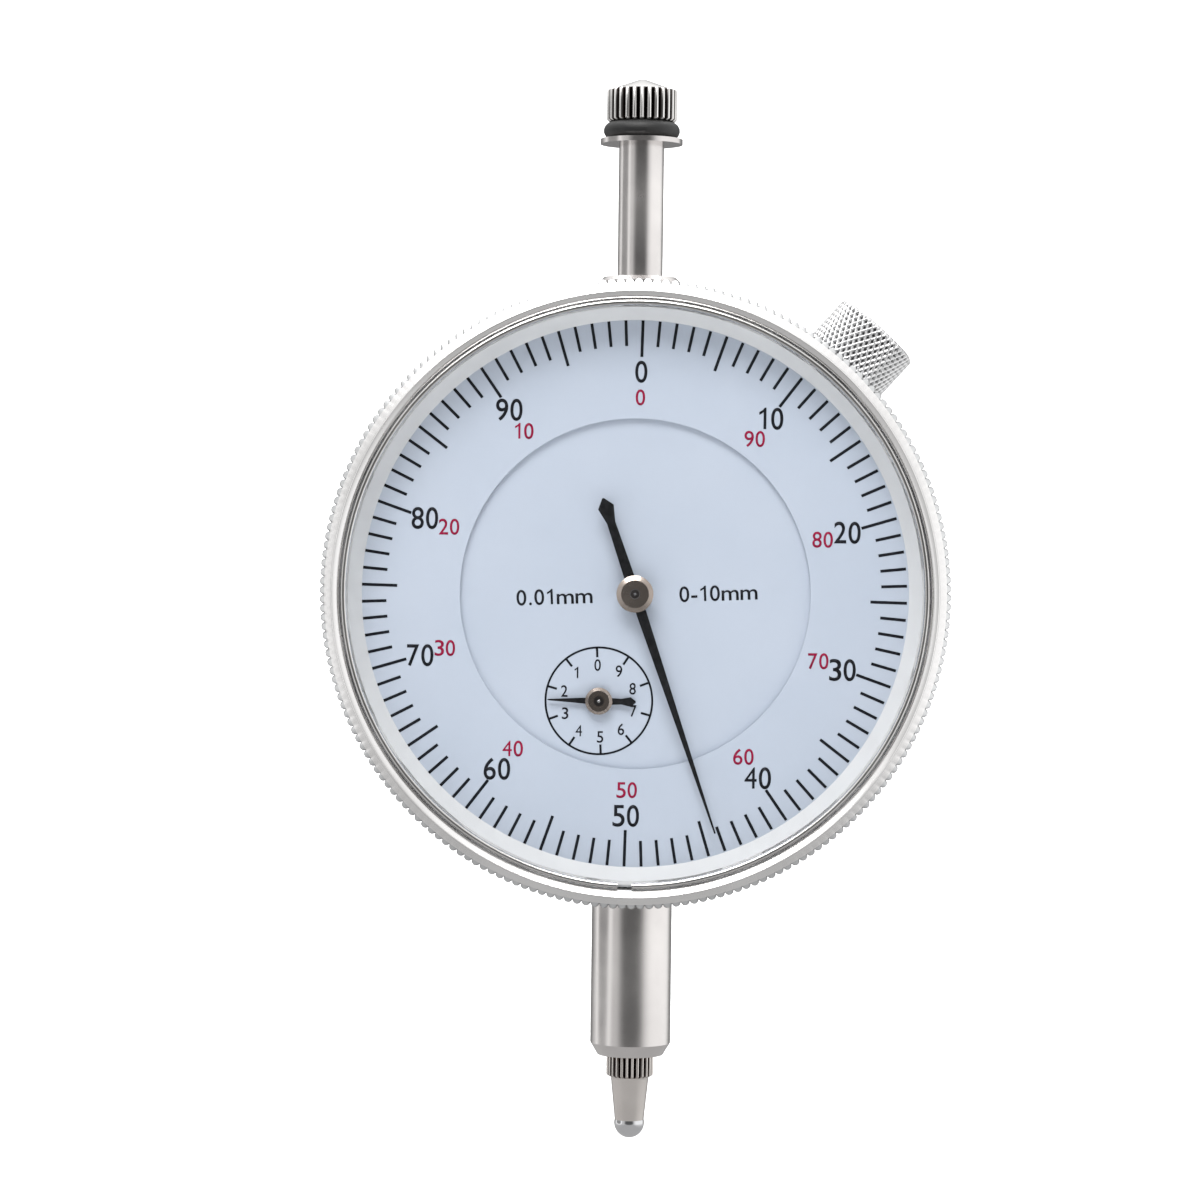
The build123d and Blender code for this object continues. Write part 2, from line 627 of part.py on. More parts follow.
def centre_pinion():
    """The main pointer's arbor; a gap of its pinion faces each wheel."""
    pitch_radius = WHEEL_MODULE * PINION_TEETH / 2
    outline = toothed_outline(
        PINION_TEETH, pitch_radius + 0.13, pitch_radius - 0.24, 0.16, 0.46, DRIVE_ANGLE + 180 / PINION_TEETH
    )
    body = plate(outline, PINION_FRONT, PINION_BACK)
    body += rod_y(CENTRE_ARBOR_RADIUS, MAIN_POINTER_FRONT - 0.3, PINION_FRONT + 0.05)
    return body + rod_y(PIVOT_RADIUS, PINION_BACK - 0.05, REAR_PLATE_BACK)


def take_up_arbor():
    body = rod_y(ARBOR_RADIUS, PINION_FRONT, PINION_BACK, TAKE_UP_X, TAKE_UP_Z)
    return body + rod_y(PIVOT_RADIUS, FLOOR_BACK, REAR_PLATE_BACK, TAKE_UP_X, TAKE_UP_Z)


def hairspring_collet():
    outside = rod_y(1.3, COLLET_FRONT, COLLET_BACK, TAKE_UP_X, TAKE_UP_Z)
    return outside - rod_y(ARBOR_RADIUS, COLLET_FRONT, COLLET_BACK, TAKE_UP_X, TAKE_UP_Z)


def hairspring():
    """A flat spiral of even pitch from the collet out to the stud."""
    turns, inner, outer, half = 5, 1.45, 5.0, 0.06
    steps = 24 * turns
    outward = []
    inward = []
    for step in range(steps + 1):
        radius = inner + (outer - inner) * step / steps
        angle = 360.0 * turns * step / steps
        ox, oz = polar(radius + half, angle)
        ix, iz = polar(radius - half, angle)
        outward.append((TAKE_UP_X + ox, TAKE_UP_Z + oz))
        inward.append((TAKE_UP_X + ix, TAKE_UP_Z + iz))
    return plate(outward + inward[::-1], COLLET_FRONT + 0.1, COLLET_BACK - 0.2)


def hairspring_stud():
    """The post that holds the hairspring's outer end."""
    return rod_y(0.8, COLLET_FRONT, REAR_PLATE_FRONT, TAKE_UP_X + 5.86, TAKE_UP_Z)


# --- Pointers -----------------------------------------------------------------------------


def needle(reach, base_width, tip_width, tail):
    """Half outline of a pointer that points up: its arm, then its tail's (half width, z) points."""
    side = [(tip_width / 2, reach), (base_width / 2, 0.0)] + tail
    return side + [(-x, z) for x, z in reversed(side)]


def pointer(points, angle, front, boss, hole, x=0.0, z=0.0):
    back = front + POINTER_THICKNESS
    body = plate(points, front, back) + rod_y(boss, front, back)
    body -= rod_y(hole, front, back)
    return Pos(x, 0, z) * Rot(0, angle, 0) * body


def main_pointer():
    tail = [(0.42, -7.3), (0.8, -8.9), (0.08, -9.8)]
    outline = needle(24.5, 1.08, 0.16, tail)
    return pointer(outline, MAIN_POINTER_ANGLE, MAIN_POINTER_FRONT, 1.6, MAIN_SLEEVE_RADIUS)


def small_pointer():
    tail = [(0.28, -2.2), (0.46, -3.1), (0.08, -3.6)]
    outline = needle(5.0, 0.75, 0.12, tail)
    return pointer(
        outline, SMALL_POINTER_ANGLE, SMALL_POINTER_FRONT, 1.15, SMALL_SLEEVE_RADIUS, DRIVE_X, DRIVE_Z
    )


def pointer_hub(radius, face, sleeve, bore, front, shoulder, back, x=0.0, z=0.0):
    """A turned hub whose bevelled head traps the pointer on its sleeve."""
    hub = turned_y([
        (bore, front), (face, front), (radius, front + 0.25), (radius, shoulder), (sleeve, shoulder),
        (sleeve, back), (bore, back),
    ])
    return Pos(x, 0, z) * hub


def main_hub():
    front = MAIN_POINTER_FRONT - 0.5
    return pointer_hub(
        1.8, 1.35, MAIN_SLEEVE_RADIUS, CENTRE_ARBOR_RADIUS, front, MAIN_POINTER_FRONT,
        MAIN_POINTER_FRONT + 0.45
    )


def small_hub():
    """The counter's hub, closed in front of its arbor."""
    front = SMALL_POINTER_FRONT - 0.45
    hub = pointer_hub(
        1.32, 1.02, SMALL_SLEEVE_RADIUS, ARBOR_RADIUS, front, SMALL_POINTER_FRONT, SMALL_POINTER_FRONT + 0.3,
        DRIVE_X, DRIVE_Z
    )
    return hub + rod_y(ARBOR_RADIUS, front + 0.1, SMALL_ARBOR_FRONT, DRIVE_X, DRIVE_Z)


# --- Bezel lock ---------------------------------------------------------------------------


def along_lock(body):
    """Turn a part drawn along Z so that it points out along the lock screw's axis."""
    return Pos(0, LOCK_Y, 0) * Rot(0, 90 - LOCK_ANGLE, 0) * body


def lock_screw():
    """The knurled thumb screw: a ribbed knob on a threaded stud."""
    edge = 0.5
    grip = ribs(KNOB_RADIUS, 0.25, KNOB_RIBS, KNOB_INNER, KNOB_OUTER)
    envelope = turned_z([
        (0, KNOB_INNER), (KNOB_RADIUS - edge, KNOB_INNER), (KNOB_RADIUS, KNOB_INNER + edge),
        (KNOB_RADIUS, KNOB_OUTER - edge), (KNOB_RADIUS - edge, KNOB_OUTER), (0, KNOB_OUTER),
    ])
    return along_lock((grip & envelope) + rod_z(LOCK_STUD_RADIUS, LOCK_STUD_END, KNOB_INNER + 0.5))


def lock_shoe():
    """The clamp that the knob pushes down on the bezel's skirt."""
    body = block((-3.6, 3.6), (-5.2, 3.2), (SHOE_INNER, SHOE_OUTER))
    return along_lock(body - rod_z(LOCK_STUD_RADIUS + 0.06, SHOE_INNER - 1, SHOE_OUTER + 1))


# --- Export -------------------------------------------------------------------------------


def movement_nodes():
    head = 0.8
    rear_of_feet = REAR_PLATE_BACK + 1
    return {
        "movement_front_plate": movement_front_plate(),
        "movement_rear_plate": movement_rear_plate(),
        "movement_pillars": [pillar(x, z) for x, z in PILLAR_SPOTS],
        "movement_screws": screws(
            PILLAR_SPOTS, SCREW_RADIUS, 1.2, REAR_PLATE_BACK, REAR_PLATE_BACK + head, -4.6
        ),
        "pivot_bushings": pivot_bushings(),
        "rack_pinion_bridge": rack_pinion_bridge(),
        "bridge_screws": screws(
            BRIDGE_SCREW_SPOTS, SCREW_RADIUS, 1.2, BRIDGE_BACK, BRIDGE_BACK + head, REAR_PLATE_FRONT
        ),
        "guide_channel": guide_channel(),
        "guide_screws": screws(
            GUIDE_SCREW_SPOTS, SCREW_RADIUS, 1.1, rear_of_feet, rear_of_feet + 0.7, REAR_PLATE_FRONT
        ),
        "return_spring_post": return_spring_post(),
        "return_spring": return_spring(),
        "hairspring": hairspring(),
        "hairspring_stud": hairspring_stud(),
        "rack_pinion": rack_pinion(),
        "drive_gear": drive_gear(),
        "centre_pinion": centre_pinion(),
        "take_up_arbor": take_up_arbor(),
        "take_up_gear": take_up_gear(),
        "hairspring_collet": hairspring_collet(),
    }


def case_nodes():
    head = 0.9
    front_screws = screws(
        CASE_SCREW_SPOTS, SCREW_RADIUS, 1.4, -FLOOR_FRONT, -FLOOR_FRONT + head, -FRONT_PLATE_BACK
    )
    return {
        "case_body": case_body(),
        "stem": stem(),
        "stem_lower_bushing": stem_bushing(STEM_BOTTOM, LOWER_BUSHING_TOP),
        "stem_upper_bushing": stem_bushing(STEM_TOP, -SPIGOT_END),
        "top_bush": top_bush(),
        "back_cover": back_cover(),
        "back_cover_gasket": gasket(),
        "back_cover_screws": screws(
            COVER_SCREW_SPOTS, SCREW_RADIUS, 1.5, COVER_BACK - COVER_HEAD_DEPTH, COVER_BACK + 0.3, 2.0
        ),
        "case_screws": [mirrored(screw) for screw in front_screws],
        "bezel_retaining_wire": split_ring(WIRE_CENTRE_RADIUS, WIRE_RADIUS, WIRE_CENTRE_Y, 3.0, 90),
        "inner_dial_plate": inner_dial_plate(),
    }


def mirrored(body):
    """The part turned end for end, so that its head faces the front."""
    return mirror(body, about=Plane.XZ)


def moving_nodes():
    return {
        "spindle": spindle(),
        "guide_pin": guide_pin(),
        "spring_pin": spring_pin(),
        "contact_point": contact_point(),
        "contact_ball": contact_ball(),
        "spindle_washer": washer(),
        "spindle_rubber_ring": rubber_ring(),
        "spindle_cap": spindle_cap(),
        "main_pointer": main_pointer(),
        "main_pointer_hub": main_hub(),
        "small_pointer": small_pointer(),
        "small_pointer_hub": small_hub(),
        "bezel": bezel(),
        "crystal": crystal(),
        "crystal_snap_ring": split_ring(
            SNAP_RING_RADIUS, SNAP_RING_SECTION, CRYSTAL_FRONT - 0.31, 1.4, SNAP_RING_GAP_ANGLE
        ),
        "spacer_ring": spacer_ring(),
        "scale_ring": scale_ring(),
        "lock_shoe": lock_shoe(),
        "lock_screw": lock_screw(),
    }


def write(nodes):
    os.makedirs("parts", exist_ok=True)
    for name, made in nodes.items():
        solids = made if isinstance(made, list) else [made]
        lifted = [Pos(0, 0, ORIGIN_LIFT) * solid for solid in solids]
        export_step(Compound(children=lifted) if len(lifted) > 1 else lifted[0], f"parts/{name}.step")


write(case_nodes())
write(movement_nodes())
write(moving_nodes())
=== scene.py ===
import json
import math

import bmesh
import bpy
from mathutils import Matrix, Vector


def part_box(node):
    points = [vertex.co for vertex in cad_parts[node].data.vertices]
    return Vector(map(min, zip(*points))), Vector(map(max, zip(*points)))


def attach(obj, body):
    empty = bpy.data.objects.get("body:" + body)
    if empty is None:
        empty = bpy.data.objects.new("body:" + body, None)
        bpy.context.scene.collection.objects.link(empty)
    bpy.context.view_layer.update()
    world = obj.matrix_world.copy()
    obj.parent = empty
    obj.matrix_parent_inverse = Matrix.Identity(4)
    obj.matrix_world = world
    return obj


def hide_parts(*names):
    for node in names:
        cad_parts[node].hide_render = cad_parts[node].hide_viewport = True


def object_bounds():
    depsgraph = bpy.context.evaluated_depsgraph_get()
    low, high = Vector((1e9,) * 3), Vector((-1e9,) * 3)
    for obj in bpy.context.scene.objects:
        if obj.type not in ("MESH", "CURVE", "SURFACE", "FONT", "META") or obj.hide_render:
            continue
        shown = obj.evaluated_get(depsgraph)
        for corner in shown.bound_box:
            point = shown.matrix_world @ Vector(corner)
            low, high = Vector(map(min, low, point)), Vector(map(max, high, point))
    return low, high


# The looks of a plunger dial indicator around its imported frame, in metres. The dial faces -Y.
# Angles on the dial are in degrees, clockwise from the top, seen from the front.

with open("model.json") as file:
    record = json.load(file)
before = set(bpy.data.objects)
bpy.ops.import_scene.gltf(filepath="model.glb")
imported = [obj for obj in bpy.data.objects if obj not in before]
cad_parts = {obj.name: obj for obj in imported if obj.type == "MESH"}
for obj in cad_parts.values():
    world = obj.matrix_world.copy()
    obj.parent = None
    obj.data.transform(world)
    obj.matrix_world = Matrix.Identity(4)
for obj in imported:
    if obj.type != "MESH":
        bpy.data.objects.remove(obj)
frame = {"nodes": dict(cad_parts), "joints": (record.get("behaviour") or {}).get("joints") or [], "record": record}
cad_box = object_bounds()

MM = 0.001
TAU = 2 * math.pi


# --- Places read from the frame ---------------------------------------------------------------


def middle(node):
    low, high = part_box(node)
    return (low + high) / 2


def joint(name):
    return next(j for j in frame["joints"] if j["name"] == name)


BEZEL_LOW, BEZEL_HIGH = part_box("bezel")
DIAL = middle("bezel")
KNURL_RADIUS = (BEZEL_HIGH.x - BEZEL_LOW.x) / 2
SCALE_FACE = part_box("scale_ring")[0].y
PLATE_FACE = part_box("inner_dial_plate")[0].y
COUNTER = middle("small_pointer_hub")
CRYSTAL_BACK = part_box("crystal")[1].y
LOCK_OUT = Vector(joint("lock_screw_turn")["axis"]).normalized()

# --- Small helpers ----------------------------------------------------------------------------

# A lathe's points on its axis keep this radius, and points closer than the weld become one.
AXIS_RADIUS = 1e-6
WELD = 1e-7


def link(obj):
    bpy.context.scene.collection.objects.link(obj)
    return obj


def new_piece(name, mesh, material, body, smooth=True, sharp_angle=35):
    """A mesh as a named piece that rides on a body."""
    obj = link(bpy.data.objects.new(name, mesh))
    mesh.materials.clear()
    mesh.materials.append(material)
    if smooth:
        mesh.shade_smooth()
        mesh.set_sharp_from_angle(angle=math.radians(sharp_angle))
    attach(obj, body)
    return obj


def lathe(name, profile, steps, notch=None, depth=0.0, closed=True):
    """A mesh turned about +Z from (radius, height) points, or (radius, height, share) with a notch.

    notch(turn, height) is 0 to 1, and times a point's share and the depth it is how far the point
    stands in. closed joins the profile's last point to its first.
    """
    vertices = []
    grooves = []
    for step in range(steps):
        turn = TAU * step / steps
        for radius, height, *share in profile:
            groove = share[0] * notch(turn, height) if share else 0.0
            out = radius - depth * groove
            vertices.append((out * math.cos(turn), out * math.sin(turn), height))
            grooves.append(groove)
    count = len(profile)
    faces = []
    for step in range(steps):
        following = (step + 1) % steps
        for index in range(count if closed else count - 1):
            after = (index + 1) % count
            faces.append((step * count + index, following * count + index,
                          following * count + after, step * count + after))
    mesh = bpy.data.meshes.new(name)
    mesh.from_pydata(vertices, [], faces)
    if notch:
        mesh.attributes.new("groove", "FLOAT", "POINT").data.foreach_set("value", grooves)
    bm = bmesh.new()
    bm.from_mesh(mesh)
    bmesh.ops.remove_doubles(bm, verts=bm.verts, dist=WELD)
    bmesh.ops.recalc_face_normals(bm, faces=bm.faces)
    bm.to_mesh(mesh)
    bm.free()
    return mesh


def place(mesh, origin, direction):
    """Move a mesh made about +Z to an origin, with +Z turned to a direction."""
    turn = Vector(direction).to_track_quat("Z", "Y").to_matrix().to_4x4()
    mesh.transform(Matrix.Translation(origin) @ turn)
    return mesh


# --- Materials --------------------------------------------------------------------------------


class Nodes:
    """A node material being put together."""

    def __init__(self, name):
        self.material = bpy.data.materials.new(name)
        self.material.use_nodes = True
        self.tree = self.material.node_tree
        self.shader = self.tree.nodes["Principled BSDF"]
        self.space = self.add("ShaderNodeTexCoord").outputs["Object"]

    def add(self, kind, **settings):
        node = self.tree.nodes.new(kind)
        for key, value in settings.items():
            setattr(node, key, value)
        return node

    def join(self, source, target):
        self.tree.links.new(source, target)

    def noise(self, scale, detail=4.0, stretch=(1, 1, 1)):
        """Noise over the object's own space, stretched along its axes."""
        mapping = self.add("ShaderNodeMapping")
        mapping.inputs["Scale"].default_value = stretch
        self.join(self.space, mapping.inputs["Vector"])
        noise = self.add("ShaderNodeTexNoise")
        noise.inputs["Scale"].default_value = scale
        noise.inputs["Detail"].default_value = detail
        self.join(mapping.outputs["Vector"], noise.inputs["Vector"])
        return noise.outputs["Fac"]

    def rings(self, about, scale, axis):
        """Turning marks: fine rings about an axis through a point."""
        mapping = self.add("ShaderNodeMapping")
        mapping.inputs["Location"].default_value = [-a for a in about]
        self.join(self.space, mapping.inputs["Vector"])
        flat = self.add("ShaderNodeVectorMath", operation="MULTIPLY")
        flat.inputs[1].default_value = [0 if name == axis else 1 for name in "XYZ"]
        self.join(mapping.outputs["Vector"], flat.inputs[0])
        radius = self.add("ShaderNodeVectorMath", operation="LENGTH")
        self.join(flat.outputs["Vector"], radius.inputs[0])
        noise = self.add("ShaderNodeTexNoise", noise_dimensions="1D")
        noise.inputs["Scale"].default_value = scale
        noise.inputs["Detail"].default_value = 3.0
        self.join(radius.outputs["Value"], noise.inputs["W"])
        return noise.outputs["Fac"]

    def spread(self, source, from_low, from_high, low=0.0, high=1.0):
        """One stretch of the source mapped to another."""
        spread = self.add("ShaderNodeMapRange")
        spread.inputs["From Min"].default_value = from_low
        spread.inputs["From Max"].default_value = from_high
        spread.inputs["To Min"].default_value = low
        spread.inputs["To Max"].default_value = high
        self.join(source, spread.inputs["Value"])
        return spread.outputs["Result"]

    def span(self, noise, low, high):
        """A noise's usual range, 0.3 to 0.7, spread over low to high."""
        return self.spread(noise, 0.3, 0.7, low, high)

    def tint(self, noise, dark, light):
        """A colour between two, by a noise."""
        mix = self.add("ShaderNodeMix", data_type="RGBA")
        mix.inputs["A"].default_value = (*dark, 1)
        mix.inputs["B"].default_value = (*light, 1)
        self.join(self.span(noise, 0.0, 1.0), mix.inputs["Factor"])
        return mix.outputs["Result"]

    def darken_grooves(self, color, groove_shade_color, clear, full):
        """Painted shade in grooves: the colour turns to a shade colour from one share of their depth to another.
        """
        groove = self.add("ShaderNodeAttribute", attribute_name="groove")
        mix = self.add("ShaderNodeMix", data_type="RGBA")
        mix.inputs["B"].default_value = (*groove_shade_color, 1)
        self.join(self.spread(groove.outputs["Fac"], clear, full), mix.inputs["Factor"])
        self.join(color, mix.inputs["A"])
        return mix.outputs["Result"]

    def bump(self, source, depth, before=None):
        bump = self.add("ShaderNodeBump")
        bump.inputs["Strength"].default_value = 1.0
        bump.inputs["Distance"].default_value = depth
        self.join(source, bump.inputs["Height"])
        if before is not None:
            self.join(before, bump.inputs["Normal"])
        return bump.outputs["Normal"]

    def set(self, **values):
        """Values of the shader's inputs, with _ for each space in a name."""
        for key, value in values.items():
            self.shader.inputs[key.replace("_", " ")].default_value = value

    def finish(self, color, roughness, normal=None):
        self.join(color, self.shader.inputs["Base Color"])
        self.join(roughness, self.shader.inputs["Roughness"])
        if normal is not None:
            self.join(normal, self.shader.inputs["Normal"])
        return self.material

    def finish_with(self, surface):
        """End with a surface of its own in place of the usual shader."""
        self.join(surface, self.tree.nodes["Material Output"].inputs["Surface"])
        self.tree.nodes.remove(self.shader)
        return self.material


EVEN = (1, 1, 1)


def metal(name, dark, light, rough, grain=(9000, EVEN), depth=1.5e-6, spin=None, grooves=None):
    """A worked metal: tint and roughness vary with smudges, and the bump follows the grain.

    grain is (scale, stretch). spin, as (centre, axis), makes the grain rings instead. grooves is
    (colour, clear, full) for a knurl with painted shade that darkens its grooves.
    """
    nodes = Nodes(name)
    nodes.set(Metallic=1.0)
    smudge = nodes.noise(160, 5.0)
    scale, stretch = grain
    fine = nodes.noise(scale, 2.0, stretch) if spin is None else nodes.rings(spin[0], scale, spin[1])
    color = nodes.tint(smudge, dark, light)
    # Painted shade: the knurl's grooves darken towards the shade colour.
    if grooves:
        color = nodes.darken_grooves(color, *grooves)
    return nodes.finish(color, nodes.span(smudge, *rough), nodes.bump(fine, depth))


def ground_steel():
    """Cylindrical grinding leaves fine rings across the stem and the spindle."""
    return metal("ground_steel", (0.60, 0.575, 0.565), (0.72, 0.695, 0.68), (0.18, 0.28),
                 grain=(2600, (0.03, 0.03, 6.0)), depth=1.6e-6)


def satin_chrome():
    return metal("satin_chrome", (0.74, 0.73, 0.725), (0.82, 0.815, 0.81), (0.22, 0.32))


def rim_chrome():
    """The bezel's turned face, with rings about the dial's axis."""
    return metal("rim_chrome", (0.72, 0.71, 0.705), (0.80, 0.79, 0.785), (0.20, 0.30),
                 grain=(16000, None), depth=1.6e-6, spin=(DIAL, "Y"))


# Painted shade: a darker copy of the rim's chrome for the knurl, to tone down its reflections, with its grooves
# darkened further.
def knurl_chrome():
    return metal("knurl_chrome", (0.60, 0.605, 0.61), (0.68, 0.685, 0.69), (0.20, 0.30),
                 grooves=((0.16, 0.165, 0.165), 0.0, 0.8))


# Painted shade: the cap's rib grooves darken to near black.
def cap_chrome():
    return metal("cap_chrome", (0.76, 0.745, 0.73), (0.84, 0.825, 0.81), (0.16, 0.24),
                 grooves=((0.035, 0.027, 0.024), 0.04, 0.42))


# Painted shade: the knob's diamond pits darken to dark grey.
def knob_chrome():
    return metal("knob_chrome", (0.70, 0.70, 0.705), (0.78, 0.78, 0.785), (0.24, 0.34),
                 grooves=((0.20, 0.20, 0.205), 0.0, 0.8))


# Painted shade: the collar's rib grooves darken to near black.
def contact_steel():
    return metal("contact_steel", (0.66, 0.62, 0.59), (0.76, 0.72, 0.69), (0.18, 0.26),
                 grooves=((0.05, 0.038, 0.033), 0.04, 0.45))


def hub_steel(name, centre):
    """A pointer hub's turned face, with rings about its own axis."""
    return metal(name, (0.34, 0.28, 0.235), (0.44, 0.37, 0.32), (0.20, 0.30),
                 grain=(12000, None), depth=1.6e-6, spin=(centre, "Y"))


def plain_metal(name, dark, light, rough):
    return metal(name, dark, light, rough, grain=(5000, EVEN), depth=1.2e-6)


def enamel():
    """Silver enamel on the case, with a fine orange-peel surface."""
    nodes = Nodes("silver_enamel")
    nodes.set(Metallic=0.75, Coat_Weight=0.25, Coat_Roughness=0.2)
    smudge = nodes.noise(90, 5.0)
    flake = nodes.bump(nodes.noise(7000, 2.0), 1e-6)
    peel = nodes.bump(nodes.noise(1400, 3.0), 4e-6, before=flake)
    return nodes.finish(nodes.tint(smudge, (0.47, 0.48, 0.495), (0.56, 0.57, 0.585)),
                        nodes.span(smudge, 0.32, 0.44), peel)


def dial_paint():
    """Pale blue matt lacquer with the faintest mottle."""
    nodes = Nodes("dial_lacquer")
    nodes.set(Specular_IOR_Level=0.35)
    mottle = nodes.noise(70, 6.0)
    return nodes.finish(nodes.tint(mottle, (0.428, 0.469, 0.535), (0.452, 0.489, 0.552)),
                        nodes.span(mottle, 0.42, 0.52), nodes.bump(nodes.noise(9000, 3.0), 1.5e-6))


def ink(name, dark, light):
    """Screen-printed ink: slightly uneven in tone and gloss."""
    nodes = Nodes(name)
    nodes.set(Specular_IOR_Level=0.15)
    grain = nodes.noise(6000, 3.0)
    return nodes.finish(nodes.tint(grain, dark, light), nodes.span(grain, 0.4, 0.55),
                        nodes.bump(grain, 1e-6))


def pointer_black():
    nodes = Nodes("pointer_black")
    nodes.set(Specular_IOR_Level=0.15)
    grain = nodes.noise(2500, 4.0)
    return nodes.finish(nodes.tint(grain, (0.004, 0.004, 0.0045), (0.012, 0.012, 0.013)),
                        nodes.span(grain, 0.36, 0.5), nodes.bump(grain, 2e-6))


def spacer_white():
    nodes = Nodes("spacer_white")
    grain = nodes.noise(500, 4.0)
    return nodes.finish(nodes.tint(grain, (0.625, 0.618, 0.608), (0.652, 0.646, 0.634)),
                        nodes.span(grain, 0.28, 0.38), nodes.bump(nodes.noise(5000), 1.5e-6))


def rubber():
    nodes = Nodes("black_rubber")
    dust = nodes.noise(900, 6.0)
    return nodes.finish(nodes.tint(dust, (0.0025, 0.0025, 0.003), (0.009, 0.009, 0.009)),
                        nodes.span(dust, 0.42, 0.62), nodes.bump(nodes.noise(3000, 5.0), 9e-6))


def crystal_glass():
    """A clear flat crystal: see-through, with a glossy reflection that grows at grazing angles."""
    nodes = Nodes("crystal")
    fresnel = nodes.add("ShaderNodeFresnel")
    fresnel.inputs["IOR"].default_value = 1.38
    clear = nodes.add("ShaderNodeBsdfTransparent")
    clear.inputs["Color"].default_value = (0.985, 0.992, 1.0, 1)
    gloss = nodes.add("ShaderNodeBsdfGlossy")
    gloss.inputs["Color"].default_value = (0.9, 0.94, 1.0, 1)
    nodes.join(nodes.span(nodes.noise(260, 6.0), 0.02, 0.06), gloss.inputs["Roughness"])
    side = nodes.add("ShaderNodeNewGeometry")
    outside = nodes.add("ShaderNodeMath", operation="SUBTRACT")
    outside.inputs[0].default_value = 1.0
    nodes.join(side.outputs["Backfacing"], outside.inputs[1])
    share = nodes.add("ShaderNodeMath", operation="MULTIPLY")
    nodes.join(fresnel.outputs["Fac"], share.inputs[0])
    nodes.join(outside.outputs["Value"], share.inputs[1])
    mix = nodes.add("ShaderNodeMixShader")
    nodes.join(share.outputs["Value"], mix.inputs["Fac"])
    nodes.join(clear.outputs["BSDF"], mix.inputs[1])
    nodes.join(gloss.outputs["BSDF"], mix.inputs[2])
    return nodes.finish_with(mix.outputs["Shader"])


MATERIALS = {
    "satin_chrome": satin_chrome(),
    "rim_chrome": rim_chrome(),
    "knurl_chrome": knurl_chrome(),
    "cap_chrome": cap_chrome(),
    "knob_chrome": knob_chrome(),
    "contact_steel": contact_steel(),
    "case_finish": enamel(),
    "ground_steel": ground_steel(),
    "ball_steel": plain_metal("ball_steel", (0.62, 0.62, 0.63), (0.68, 0.68, 0.69), (0.06, 0.12)),
    "main_hub": hub_steel("main_hub_steel", DIAL),
    "counter_hub": hub_steel("counter_hub_steel", COUNTER),
    "screw_steel": plain_metal("screw_steel", (0.50, 0.50, 0.51), (0.60, 0.60, 0.61), (0.22, 0.34)),
    "spring_steel": plain_metal("spring_steel", (0.58, 0.57, 0.56), (0.66, 0.65, 0.64), (0.16, 0.26)),
    # dark_steel colours the pointer hubs' dark lathe-centre rings, which are painted shade.
    "dark_steel": plain_metal("dark_steel", (0.055, 0.048, 0.044), (0.10, 0.09, 0.085), (0.3, 0.42)),
    "bronze": plain_metal("bronze", (0.48, 0.30, 0.16), (0.58, 0.38, 0.21), (0.25, 0.38)),
    "movement_brass": plain_metal("movement_brass", (0.68, 0.50, 0.24), (0.78, 0.60, 0.31), (0.24, 0.36)),
    "dial_face": dial_paint(),
    "pointer_black": pointer_black(),
    "spacer_white": spacer_white(),
    "crystal": crystal_glass(),
    "black_rubber": rubber(),
    "black_ink": ink("black_ink", (0.003, 0.0035, 0.006), (0.009, 0.010, 0.014)),
    "red_ink": ink("red_ink", (0.24, 0.002, 0.030), (0.30, 0.004, 0.042)),
}


def dress_nodes():
    """Give every CAD node its slot's material, and each pointer's hub the rings of its own axis."""
    slots = {part["node"]: part["material_slot"] for part in frame["record"]["subparts"]}
    slots["main_pointer_hub"] = "main_hub"
    slots["small_pointer_hub"] = "counter_hub"
    for name, obj in frame["nodes"].items():
        obj.data.materials.clear()
        obj.data.materials.append(MATERIALS[slots[name]])


dress_nodes()

# --- Bezel ------------------------------------------------------------------------------------

KNURL_TEETH = 216
STEPS_PER_TOOTH = 10
KNURL_DEPTH = 0.38 * MM
VALLEY_POWER = 0.55
# The knurl's material, a darker copy of the rim's chrome with painted shade in its grooves, covers what lies
# beyond this radius.
KNURL_FOOT = KNURL_RADIUS - 0.6 * MM


